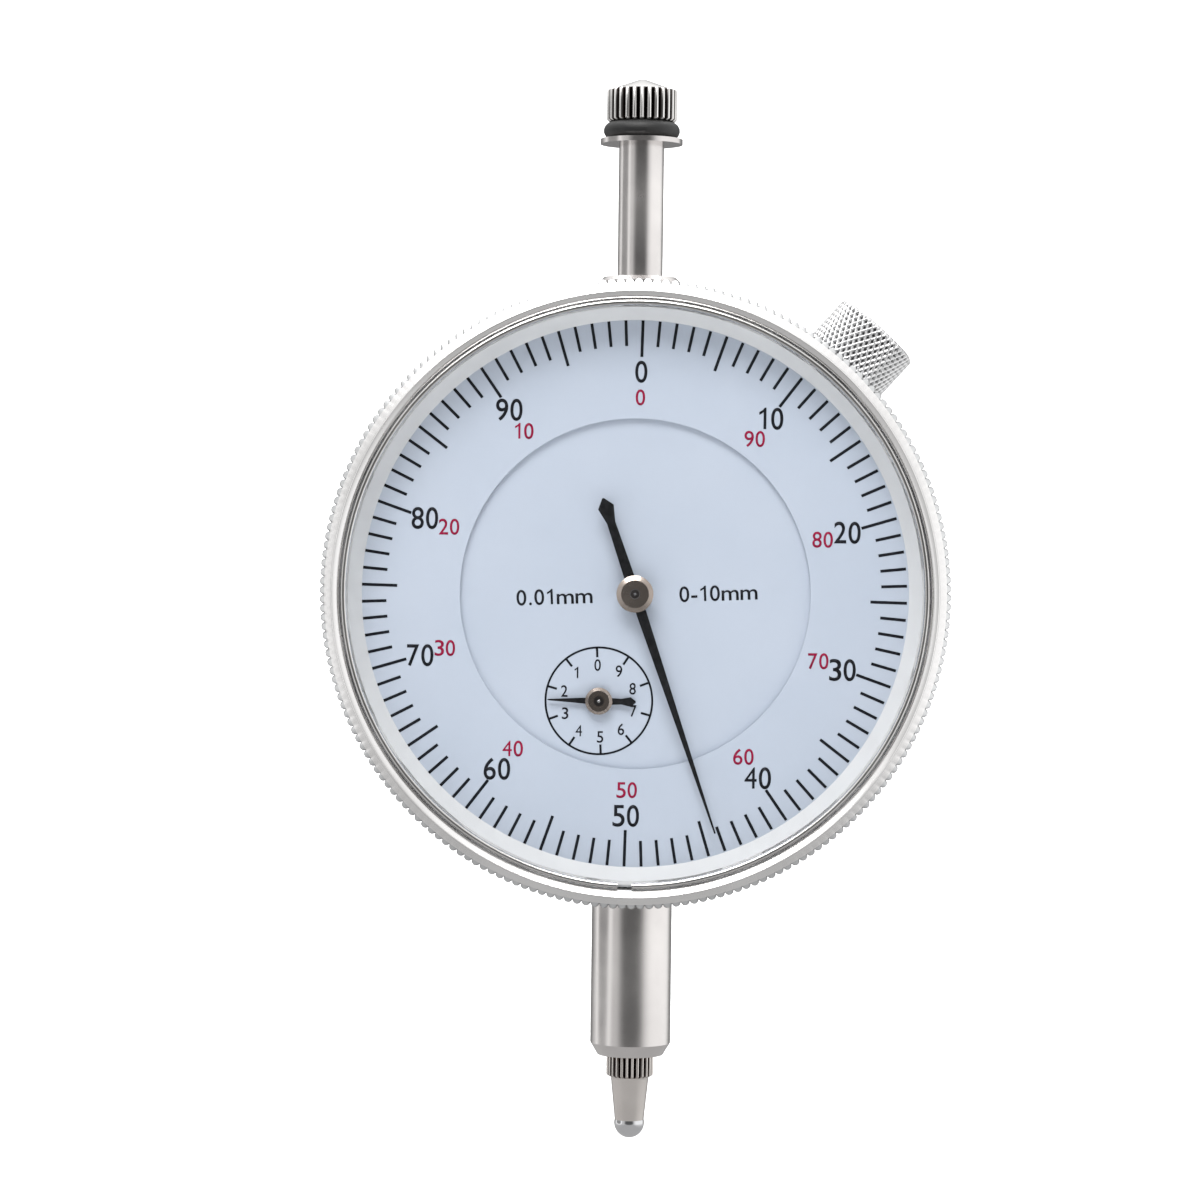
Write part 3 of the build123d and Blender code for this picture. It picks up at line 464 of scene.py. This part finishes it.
def bezel_profile():
    """(radius, forward, knurl share) points round the bezel's section; forward is towards the viewer."""
    back = -BEZEL_HIGH.y
    front = -BEZEL_LOW.y
    knurl_back = back + 1.3 * MM
    knurl_front = front - 2.6 * MM
    ledge_back = back + 4.1 * MM
    ledge_front = back + 4.75 * MM
    outer = KNURL_RADIUS
    rim = outer - 1.34 * MM
    skirt = outer - 1.8 * MM
    bore = outer - 2.15 * MM
    case_bore = outer - 2.64 * MM
    ledge = outer - 3.8 * MM
    face = [
        (bore, -CRYSTAL_BACK + 0.2 * MM, 0),
        (bore, front - 0.44 * MM, 0),
        (bore + 0.05 * MM, front - 0.37 * MM, 0),
        (rim - 0.20 * MM, front - 0.03 * MM, 0),
        (rim - 0.12 * MM, front, 0),
        (rim - 0.03 * MM, front - 0.05 * MM, 0),
        (rim, front - 0.15 * MM, 0),
        (rim, knurl_front + 0.12 * MM, 0),
        (rim + 0.06 * MM, knurl_front, 0),
        (rim + 0.16 * MM, knurl_front - 0.03 * MM, 0),
    ]
    knurl = [
        (outer - 0.46 * MM, knurl_front - 0.46 * MM, 0),
        (outer - 0.10 * MM, knurl_front - 0.62 * MM, 0.85),
        (outer, knurl_front - 0.78 * MM, 1),
        (outer, knurl_back + 0.3 * MM, 1),
        (outer - 0.10 * MM, knurl_back + 0.12 * MM, 0.85),
        (outer - 0.46 * MM, knurl_back, 0),
    ]
    inside = [
        (skirt + 0.05 * MM, knurl_back, 0),
        (skirt, knurl_back - 0.06 * MM, 0),
        (skirt, back + 0.12 * MM, 0),
        (skirt - 0.1 * MM, back, 0),
        (case_bore, back, 0),
        (case_bore, ledge_back, 0),
        (ledge, ledge_back, 0),
        (ledge, ledge_front, 0),
        (bore, ledge_front, 0),
    ]
    return face + knurl + inside


def valley(turn, height):
    """How far in the knurl stands at an angle: round crests, sharp valleys."""
    return 1 - abs(math.cos(turn * KNURL_TEETH / 2)) ** VALLEY_POWER


def make_bezel():
    mesh = lathe("bezel_grip", bezel_profile(), KNURL_TEETH * STEPS_PER_TOOTH, valley, KNURL_DEPTH)
    place(mesh, (DIAL.x, 0, DIAL.z), (0, -1, 0))
    obj = new_piece("bezel_grip", mesh, MATERIALS["rim_chrome"], "bezel", sharp_angle=30)
    # The knurl gets the darker chrome, whose tone and grooves are painted shade.
    mesh.materials.append(MATERIALS["knurl_chrome"])
    for face in mesh.polygons:
        out = face.center - DIAL
        if math.hypot(out.x, out.z) > KNURL_FOOT:
            face.material_index = 1
    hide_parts("bezel")


make_bezel()

# --- Cap, contact and lock knob ---------------------------------------------------------------

STEPS_PER_RIB = 12
CAP_RIBS = 28
CAP_RIB_DEPTH = 0.36 * MM
# How far below the CAD cap's top the cap's knurl and its tip end.
CAP_KNURL_DROP = 1.55 * MM
CAP_TIP_DROP = 0.45 * MM
CONTACT_RIBS = 26
CONTACT_RIB_DEPTH = 0.3 * MM


def ribbed(name, node, profile, ribs, depth, foot, material):
    """A piece of the spindle with straight ribs, turned about +Z on its foot."""

    def rib(turn, height):
        return 1 - abs(math.cos(turn * ribs / 2))

    mesh = lathe(name, profile, ribs * STEPS_PER_RIB, rib, depth, closed=False)
    place(mesh, foot, (0, 0, 1))
    obj = new_piece(name, mesh, MATERIALS[material], "spindle", sharp_angle=40)
    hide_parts(node)


def make_cap():
    low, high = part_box("spindle_cap")
    radius = (high.x - low.x) / 2
    knurl_top = high.z - low.z - CAP_KNURL_DROP
    tip = high.z - low.z - CAP_TIP_DROP
    profile = [
        (AXIS_RADIUS, 0, 0),
        (radius - 0.45 * MM, 0, 0),
        (radius - 0.2 * MM, 0.04 * MM, 0.7),
        (radius, 0.25 * MM, 1),
        (radius, knurl_top - 0.12 * MM, 1),
        (radius - 0.08 * MM, knurl_top, 0.9),
        (radius - 0.34 * MM, knurl_top + 0.02 * MM, 0),
        (radius - 0.42 * MM, knurl_top + 0.06 * MM, 0),
        (0.35 * MM, tip - 0.05 * MM, 0),
        (0.15 * MM, tip, 0),
        (AXIS_RADIUS, tip, 0),
    ]
    foot = (middle("spindle").x, middle("spindle").y, low.z)
    ribbed("knurled_cap", "spindle_cap", profile, CAP_RIBS, CAP_RIB_DEPTH, foot, "cap_chrome")


make_cap()


def make_contact():
    """The contact point: a plain cone down to the ball's seat, under a ribbed collar."""
    low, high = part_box("contact_point")
    ball_low, ball_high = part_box("contact_ball")
    collar = (high.x - low.x) / 2
    seat = (ball_high.z - ball_low.z) / 2
    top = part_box("spindle")[0].z - ball_low.z
    profile = [
        (AXIS_RADIUS, seat, 0),
        (1.42 * MM, seat, 0),
        (1.88 * MM, top - 2.42 * MM, 0),
        (1.9 * MM, top - 2.35 * MM, 0),
        (collar - 0.32 * MM, top - 2.22 * MM, 0),
        (collar - 0.25 * MM, top - 2.2 * MM, 0.6),
        (collar, top - 2.05 * MM, 1),
        (collar, top - 0.15 * MM, 1),
        (collar - 0.2 * MM, top, 0.6),
        (AXIS_RADIUS, top, 0),
    ]
    foot = (0, 0, ball_low.z)
    ribbed("ribbed_contact", "contact_point", profile, CONTACT_RIBS, CONTACT_RIB_DEPTH, foot,
           "contact_steel")


make_contact()

KNOB_LENGTH = 5.2 * MM
KNOB_EDGE = 0.45 * MM
KNOB_DISH = 0.02 * MM
KNOB_ROWS = 64
DIAMOND_COUNT = 46
DIAMOND_DEPTH = 0.28 * MM
STEPS_PER_DIAMOND = 12
# How many diamonds round a ridge drifts for each diamond's width along, and its crest's flat share.
DIAMOND_SLANT = 0.62
DIAMOND_CREST = 0.12
STUD_RADIUS = 1.5 * MM
STUD_LENGTH = 5.2 * MM
STUD_CHAMFER = 0.3 * MM


def knob_profile(radius):
    """The knob's section, with enough rows along it to carry the diamonds."""
    near_end = [(AXIS_RADIUS, 0, 0), (radius - 0.9 * MM, 0, 0), (radius - KNOB_EDGE, 0, 0)]
    start = KNOB_EDGE * 0.6
    length = KNOB_LENGTH - 1.2 * KNOB_EDGE
    rows = [(radius, start + length * row / KNOB_ROWS, 1) for row in range(KNOB_ROWS + 1)]
    dish = KNOB_LENGTH - KNOB_DISH
    far_end = [(radius - KNOB_EDGE, KNOB_LENGTH, 0), (radius - KNOB_EDGE - 0.25 * MM, dish, 0),
               (radius * 0.55, dish, 0), (AXIS_RADIUS, dish, 0)]
    return near_end + rows + far_end


def furthest_along(node, start, direction):
    """How far a node's points reach from a start in a direction."""
    obj = frame["nodes"][node]
    return max((obj.matrix_world @ v.co - start).dot(direction) for v in obj.data.vertices)


def make_lock_knob():
    """The lock screw: a stud, and a knob whose diamonds are two crossed sets of slanting ridges."""
    low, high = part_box("lock_screw")
    radius = (high.y - low.y) / 2
    pitch = TAU * radius / DIAMOND_COUNT
    axis_point = Vector((0, middle("lock_screw").y, DIAL.z))
    knob_foot = axis_point + LOCK_OUT * (furthest_along("lock_screw", axis_point, LOCK_OUT) - KNOB_LENGTH)

    def pit(turn, height):
        around = turn / TAU * DIAMOND_COUNT
        along = height / pitch * DIAMOND_SLANT
        left = abs((around + along) % 1 - 0.5) * 2
        right = abs((around - along) % 1 - 0.5) * 2
        return max(0.0, (min(left, right) - DIAMOND_CREST) / (1 - DIAMOND_CREST))

    steps = DIAMOND_COUNT * STEPS_PER_DIAMOND
    knob_mesh = lathe("lock_knob", knob_profile(radius), steps, pit, DIAMOND_DEPTH, closed=False)
    place(knob_mesh, knob_foot, LOCK_OUT)
    knob = new_piece("lock_knob", knob_mesh, MATERIALS["knob_chrome"], "lock_screw", sharp_angle=50)
    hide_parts("lock_screw")

    stud_profile = [(AXIS_RADIUS, -STUD_LENGTH), (STUD_RADIUS - STUD_CHAMFER, -STUD_LENGTH),
                    (STUD_RADIUS, STUD_CHAMFER - STUD_LENGTH), (STUD_RADIUS, 0.05 * MM),
                    (AXIS_RADIUS, 0.05 * MM)]
    stud_mesh = place(lathe("lock_stud", stud_profile, 48, closed=False), knob_foot, LOCK_OUT)
    stud = new_piece("lock_stud", stud_mesh, MATERIALS["screw_steel"], "lock_screw")


make_lock_knob()

# --- Pointer hubs -----------------------------------------------------------------------------

SINK_STEPS = 32


def make_hub_centre(name, node, body, radius):
    """A lathe centre in a pointer hub's face, in paint: a thin dark ring is painted shade for the countersink, and
    a small dome of brighter steel is a painted highlight at its middle.
    """
    centre = middle(node)
    face = (centre.x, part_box(node)[0].y, centre.z)
    pip = radius * 0.3
    ring = [(pip, 0.0), (pip, 0.010 * MM), (radius * 0.8, 0.010 * MM), (radius, 0.0)]
    dome = [(AXIS_RADIUS, 0.0), (pip, 0.0), (pip * 0.8, 0.022 * MM), (AXIS_RADIUS, 0.030 * MM)]
    # The dark ring is painted shade, and the pip's brighter steel is a painted highlight.
    for part, profile, closed, material in (("_sink_painted_shade", ring, True, "dark_steel"),
                                            ("_pip_highlight", dome, False, "spring_steel")):
        mesh = place(lathe(name + part, profile, SINK_STEPS, closed=closed), face, (0, -1, 0))
        obj = new_piece(name + part, mesh, MATERIALS[material], body)


make_hub_centre("main_hub", "main_pointer_hub", "centre_arbor", 0.42 * MM)
make_hub_centre("counter_hub", "small_pointer_hub", "rack_arbor", 0.48 * MM)

# --- Printing on the dial ---------------------------------------------------------------------

INK_THICKNESS = 0.012 * MM
SCALE_TURN = 1.27
PLATE_TURN = -2.7
SCALE_CENTRE = DIAL + Vector((-0.15 * MM, 0, 0.02 * MM))


def clockwise(centre, radius, degrees):
    """The point of a dial at an angle clockwise from its top."""
    turn = math.radians(degrees)
    return Vector((centre.x + radius * math.sin(turn), 0, centre.z + radius * math.cos(turn)))


def print_piece(bm, name, material, body):
    """A bmesh as one printed piece."""
    mesh = bpy.data.meshes.new(name)
    bm.to_mesh(mesh)
    bm.free()
    obj = new_piece(name, mesh, MATERIALS[material], body, smooth=False)


def print_outlines(name, outlines, face, body):
    """Thin black shapes on a face of the dial, each an (x, z) outline."""
    bm = bmesh.new()
    for outline in outlines:
        bottom = [bm.verts.new((x, face, z)) for x, z in outline]
        top = [bm.verts.new((x, face - INK_THICKNESS, z)) for x, z in outline]
        bm.faces.new(bottom)
        bm.faces.new(top[::-1])
        for index in range(len(outline)):
            after = (index + 1) % len(outline)
            bm.faces.new((bottom[index], top[index], top[after], bottom[after]))
    bmesh.ops.recalc_face_normals(bm, faces=bm.faces)
    print_piece(bm, name, "black_ink", body)


def print_words(name, meshes, material, body):
    """Words from lettering as one printed piece."""
    bm = bmesh.new()
    for mesh in meshes:
        bm.from_mesh(mesh)
    print_piece(bm, name, material, body)


def tick(centre, angle, inner, outer, width):
    """A radial line as a four-cornered outline."""
    turn = math.radians(angle)
    along = Vector((math.sin(turn), 0, math.cos(turn)))
    across = Vector((along.z, 0, -along.x)) * (width / 2)
    ends = [along * inner - across, along * outer - across, along * outer + across, along * inner + across]
    return [(centre.x + e.x, centre.z + e.z) for e in ends]


def circle_line(centre, radius, width, steps=120):
    """A thin circle as separate short spans that meet end to end."""
    inner = radius - width / 2
    outer = radius + width / 2
    spans = []
    for step in range(steps):
        start = 360 / steps * step
        end = 360 / steps * (step + 1)
        corners = [clockwise(centre, inner, start), clockwise(centre, outer, start),
                   clockwise(centre, outer, end), clockwise(centre, inner, end)]
        spans.append([(c.x, c.z) for c in corners])
    return spans


# A digit is 1 high in all of these. The font's own 1 has a foot that dials don't print, so ONE is
# its outline. A 4 isn't made bolder, because that would close its hole.
ONE = [(0.45, 0), (0.45, 1), (0.37, 1), (0.28, 0.885), (0.12, 0.79), (0.12, 0.66), (0.23, 0.712),
       (0.32, 0.785), (0.32, 0)]
FONT_DIGIT_HEIGHT = 0.7
FONT_BOLDNESS = 0.012
DIGIT_CELL = 0.665
DIGIT_WIDTH = 0.565
CELLS = {".": 0.36, "-": 0.47, "m": 1.08, "1": 0.62}
GLYPH_WIDTHS = {".": 0.16, "-": 0.36, "m": 0.98}


def digit_one():
    mesh = bpy.data.meshes.new("glyph")
    bm = bmesh.new()
    bm.faces.new([bm.verts.new((x, y, 0)) for x, y in ONE])
    bm.to_mesh(mesh)
    bm.free()
    return mesh


def font_glyph(letter):
    """A letter of the font, at its own width, in the middle of its cell."""
    curve = bpy.data.curves.new("glyph", "FONT")
    curve.body = letter
    curve.size = 1 / FONT_DIGIT_HEIGHT
    curve.resolution_u = 8
    if letter != "4":
        curve.offset = FONT_BOLDNESS
    text = link(bpy.data.objects.new("glyph", curve))
    bpy.context.view_layer.update()
    mesh = bpy.data.meshes.new_from_object(text.evaluated_get(bpy.context.evaluated_depsgraph_get()))
    bpy.data.objects.remove(text)
    left = min(v.co.x for v in mesh.vertices)
    right = max(v.co.x for v in mesh.vertices)
    stretch = GLYPH_WIDTHS.get(letter, DIGIT_WIDTH) / (right - left)
    mesh.transform(Matrix.Translation((-(left + right) / 2, 0, 0)))
    mesh.transform(Matrix.Diagonal((stretch, 1, 1, 1)))
    mesh.transform(Matrix.Translation((CELLS.get(letter, DIGIT_CELL) / 2, 0, 0)))
    return mesh


def lettering(words, centre, height, face, turn=0.0, stretch=1.0):
    """Raised print, centred on a point, as one mesh. height is a digit's height."""
    flat = bmesh.new()
    along = 0.0
    for letter in words:
        mesh = digit_one() if letter == "1" else font_glyph(letter)
        mesh.transform(Matrix.Translation((along, 0, 0)))
        flat.from_mesh(mesh)
        along += CELLS.get(letter, DIGIT_CELL)
    bmesh.ops.remove_doubles(flat, verts=flat.verts, dist=1e-5)
    on_dial = Matrix.Translation((centre.x, face - INK_THICKNESS, centre.z))
    turned = Matrix.Rotation(math.radians(turn), 4, "Y")
    upright = Matrix.Rotation(math.radians(90), 4, "X")
    sized = Matrix.Diagonal((height * stretch, height, 1, 1))
    centred = Matrix.Translation((-along / 2, -0.5, 0))
    bmesh.ops.transform(flat, matrix=on_dial @ turned @ upright @ sized @ centred, verts=flat.verts)
    raised = bmesh.ops.extrude_face_region(flat, geom=flat.faces[:])
    for item in raised["geom"]:
        if isinstance(item, bmesh.types.BMVert):
            item.co.y = face
    bmesh.ops.recalc_face_normals(flat, faces=flat.faces)
    mesh = bpy.data.meshes.new("print")
    flat.to_mesh(mesh)
    flat.free()
    return mesh


MARKS = 100
TICK_OUTER = 26.56 * MM
TICK_WIDTH = 0.29 * MM
TICK_LENGTH = 2.5 * MM
LONG_TICK_LENGTH = 3.55 * MM
# Each ring of numerals: the radius it stands on and a digit's height.
BLACK_RADIUS = 21.6 * MM
BLACK_HEIGHT = 2.1 * MM
RED_RADIUS = 19.1 * MM
RED_HEIGHT = 1.53 * MM
RED_STRETCH = 1.06


def print_scale():
    ticks = []
    for mark in range(MARKS):
        inner = TICK_OUTER - (LONG_TICK_LENGTH if mark % 5 == 0 else TICK_LENGTH)
        ticks.append(tick(SCALE_CENTRE, SCALE_TURN + 3.6 * mark, inner, TICK_OUTER, TICK_WIDTH))
    print_outlines("scale_ticks", ticks, SCALE_FACE, "bezel")
    black = []
    red = []
    for value in range(0, MARKS, 10):
        angle = SCALE_TURN + 3.6 * value
        spot = clockwise(SCALE_CENTRE, BLACK_RADIUS, angle)
        black.append(lettering(str(value), spot, BLACK_HEIGHT, SCALE_FACE))
        spot = clockwise(SCALE_CENTRE, RED_RADIUS, angle)
        red.append(lettering(str((MARKS - value) % MARKS), spot, RED_HEIGHT, SCALE_FACE, stretch=RED_STRETCH))
    print_words("scale_numerals_black", black, "black_ink", "bezel")
    print_words("scale_numerals_red", red, "red_ink", "bezel")


print_scale()

COUNTER_RADIUS = 5.2 * MM
COUNTER_LINE = 0.2 * MM
COUNTER_TICK_WIDTH = 0.22 * MM
COUNTER_TICK_LENGTH = 0.95 * MM
COUNTER_DIGIT_RADIUS = 3.5 * MM
COUNTER_DIGIT_HEIGHT = 1.12 * MM
# The plate's words, each with the place of its middle from the dial's centre, (x, z).
PLATE_WORDS = (("0.01mm", -7.85 * MM, -0.35 * MM), ("0-10mm", 8.1 * MM, 0.2 * MM))
WORD_HEIGHT = 1.5 * MM
WORD_STRETCH = 1.13


def print_plate():
    marks = circle_line(COUNTER, COUNTER_RADIUS, COUNTER_LINE)
    words = []
    for value in range(10):
        angle = PLATE_TURN + 36 * value
        marks.append(tick(COUNTER, angle, COUNTER_RADIUS - COUNTER_TICK_LENGTH, COUNTER_RADIUS,
                          COUNTER_TICK_WIDTH))
        spot = clockwise(COUNTER, COUNTER_DIGIT_RADIUS, PLATE_TURN - 36 * value)
        words.append(lettering(str(value), spot, COUNTER_DIGIT_HEIGHT, PLATE_FACE))
    print_outlines("counter_marks", marks, PLATE_FACE, "case")
    for text, x, z in PLATE_WORDS:
        spot = Vector((DIAL.x + x, 0, DIAL.z + z))
        words.append(lettering(text, spot, WORD_HEIGHT, PLATE_FACE, turn=PLATE_TURN, stretch=WORD_STRETCH))
    print_words("plate_print", words, "black_ink", "case")


print_plate()

# --- Stage, light and camera ------------------------------------------------------------------

FLOOR_HEIGHT = cad_box[0].z - 30 * MM
FLOOR_REACH = 3.0
BEND_START = 1.2
BEND_RADIUS = 0.6
BEND_STEPS = 12
WALL_HEIGHT = 2.5


def make_floor():
    """A pale floor that bends up into a wall behind the object."""
    path = [(-FLOOR_REACH, FLOOR_HEIGHT)]
    for step in range(BEND_STEPS + 1):
        turn = math.radians(90) * step / BEND_STEPS
        path.append((BEND_START + BEND_RADIUS * math.sin(turn),
                     FLOOR_HEIGHT + BEND_RADIUS * (1 - math.cos(turn))))
    path.append((BEND_START + BEND_RADIUS, FLOOR_HEIGHT + WALL_HEIGHT))
    bm = bmesh.new()
    left = [bm.verts.new((-FLOOR_REACH, y, z)) for y, z in path]
    right = [bm.verts.new((FLOOR_REACH, y, z)) for y, z in path]
    for index in range(len(path) - 1):
        bm.faces.new((left[index], right[index], right[index + 1], left[index + 1]))
    bmesh.ops.recalc_face_normals(bm, faces=bm.faces)
    mesh = bpy.data.meshes.new("floor")
    bm.to_mesh(mesh)
    bm.free()
    floor = link(bpy.data.objects.new("floor", mesh))
    nodes = Nodes("pale_floor")
    grain = nodes.noise(3, 3.0)
    mesh.materials.append(nodes.finish(nodes.tint(grain, (0.86, 0.86, 0.865), (0.88, 0.88, 0.882)),
                                       nodes.span(grain, 0.7, 0.8)))
    mesh.shade_smooth()


make_floor()

# What metal mirrors: a plain glow, and panels over it, each (axis, where it starts, where it is
# full, how bright, how much it covers), in directions from the dial's centre. A later panel covers
# an earlier one.
REFLECT_BEHIND = 0.60
PANELS = (
    ("X", 0.45, 0.90, 1.32, 1.0),
    ("X", -0.45, -0.68, 0.75, 1.0),
    ("X", -0.80, -0.86, 1.30, 1.0),
    ("X", -0.90, -0.95, 0.40, 1.0),
    ("Y", -0.74, -0.94, 0.14, 1.0),
    ("Y", 0.60, 0.85, 0.25, 1.0),
    ("Z", 0.25, 0.70, 1.22, 1.0),
    ("Z", -0.30, -0.72, 0.54, 0.70),
)
DRUM_RADIUS = 1.1


def reflector_material():
    """Soft panels: bright above, at the right and in a strip at the left, dark in front and behind."""
    nodes = Nodes("reflectors")
    direction = nodes.add("ShaderNodeVectorMath", operation="NORMALIZE")
    nodes.join(nodes.space, direction.inputs[0])
    split = nodes.add("ShaderNodeSeparateXYZ")
    nodes.join(direction.outputs["Vector"], split.inputs["Vector"])
    level = None
    for axis, start, full, bright, cover in PANELS:
        share = nodes.add("ShaderNodeMapRange", interpolation_type="SMOOTHSTEP")
        share.inputs["From Min"].default_value = start
        share.inputs["From Max"].default_value = full
        share.inputs["To Max"].default_value = cover
        nodes.join(split.outputs[axis], share.inputs["Value"])
        mix = nodes.add("ShaderNodeMix")
        nodes.join(share.outputs["Result"], mix.inputs["Factor"])
        mix.inputs["A"].default_value = REFLECT_BEHIND
        mix.inputs["B"].default_value = bright
        if level is not None:
            nodes.join(level, mix.inputs["A"])
        level = mix.outputs["Result"]
    glow = nodes.add("ShaderNodeEmission")
    nodes.join(level, glow.inputs["Strength"])
    return nodes.finish_with(glow.outputs["Emission"])


def make_reflectors():
    """A drum of panels round the object, standing just off the floor, that only mirror rays see."""
    low = FLOOR_HEIGHT + 1 * MM - DIAL.z
    profile = [(AXIS_RADIUS, low), (DRUM_RADIUS, low), (DRUM_RADIUS, DRUM_RADIUS), (AXIS_RADIUS, DRUM_RADIUS)]
    drum = link(bpy.data.objects.new("reflectors", lathe("reflectors", profile, 64, closed=False)))
    drum.location = DIAL
    drum.data.materials.append(reflector_material())
    drum.visible_camera = False
    drum.visible_diffuse = False
    drum.visible_transmission = False
    drum.visible_shadow = False


make_reflectors()


def area_light(name, location, target, size, power, color):
    light = bpy.data.lights.new(name, "AREA")
    light.shape = "RECTANGLE"
    light.size, light.size_y = size
    light.energy = power
    light.color = color
    obj = link(bpy.data.objects.new(name, light))
    obj.location = location
    obj.rotation_mode = "QUATERNION"
    obj.rotation_quaternion = (Vector(target) - Vector(location)).to_track_quat("-Z", "Y")


def studio_world(color, strength):
    world = bpy.data.worlds.new("studio")
    world.use_nodes = True
    background = world.node_tree.nodes["Background"]
    background.inputs["Color"].default_value = (*color, 1)
    background.inputs["Strength"].default_value = strength
    bpy.context.scene.world = world


def make_lights():
    """A soft light above the dial, a wash on the wall, and an even, slightly cool sky."""
    area_light("key_top", location=(-0.10, -0.42, 0.62), target=DIAL, size=(0.55, 0.35), power=5.6,
               color=(1.0, 0.99, 0.98))
    area_light("back_wash", location=(0.0, 0.5, 1.3), target=(0, 1.7, 0.2), size=(2.0, 0.6), power=42.0,
               color=(1, 1, 1))
    studio_world(color=(0.97, 0.985, 1.0), strength=0.55)
    bpy.context.scene.view_settings.view_transform = "Standard"


make_lights()

CAMERA_AZIMUTH = 1.0
CAMERA_ELEVATION = 0.9
CAMERA_ROLL = 0.73
CAMERA_DISTANCE = 0.365
CAMERA_LENS = 109.5
CAMERA_SENSOR = 36.0
CAMERA_TARGET = Vector((-3.58 * MM, 0, DIAL.z - 0.79 * MM))


def make_camera():
    azimuth = math.radians(CAMERA_AZIMUTH)
    elevation = math.radians(CAMERA_ELEVATION)
    back = Vector((math.sin(azimuth) * math.cos(elevation), -math.cos(azimuth) * math.cos(elevation),
                   math.sin(elevation)))
    roll = Matrix.Rotation(math.radians(CAMERA_ROLL), 4, "Z").to_quaternion()
    data = bpy.data.cameras.new("camera")
    data.lens = CAMERA_LENS
    data.sensor_width = CAMERA_SENSOR
    data.clip_start = 0.01
    camera = link(bpy.data.objects.new("camera", data))
    camera.location = CAMERA_TARGET + back * CAMERA_DISTANCE
    camera.rotation_mode = "QUATERNION"
    camera.rotation_quaternion = (-back).to_track_quat("-Z", "Y") @ roll
    bpy.context.scene.camera = camera


make_camera()
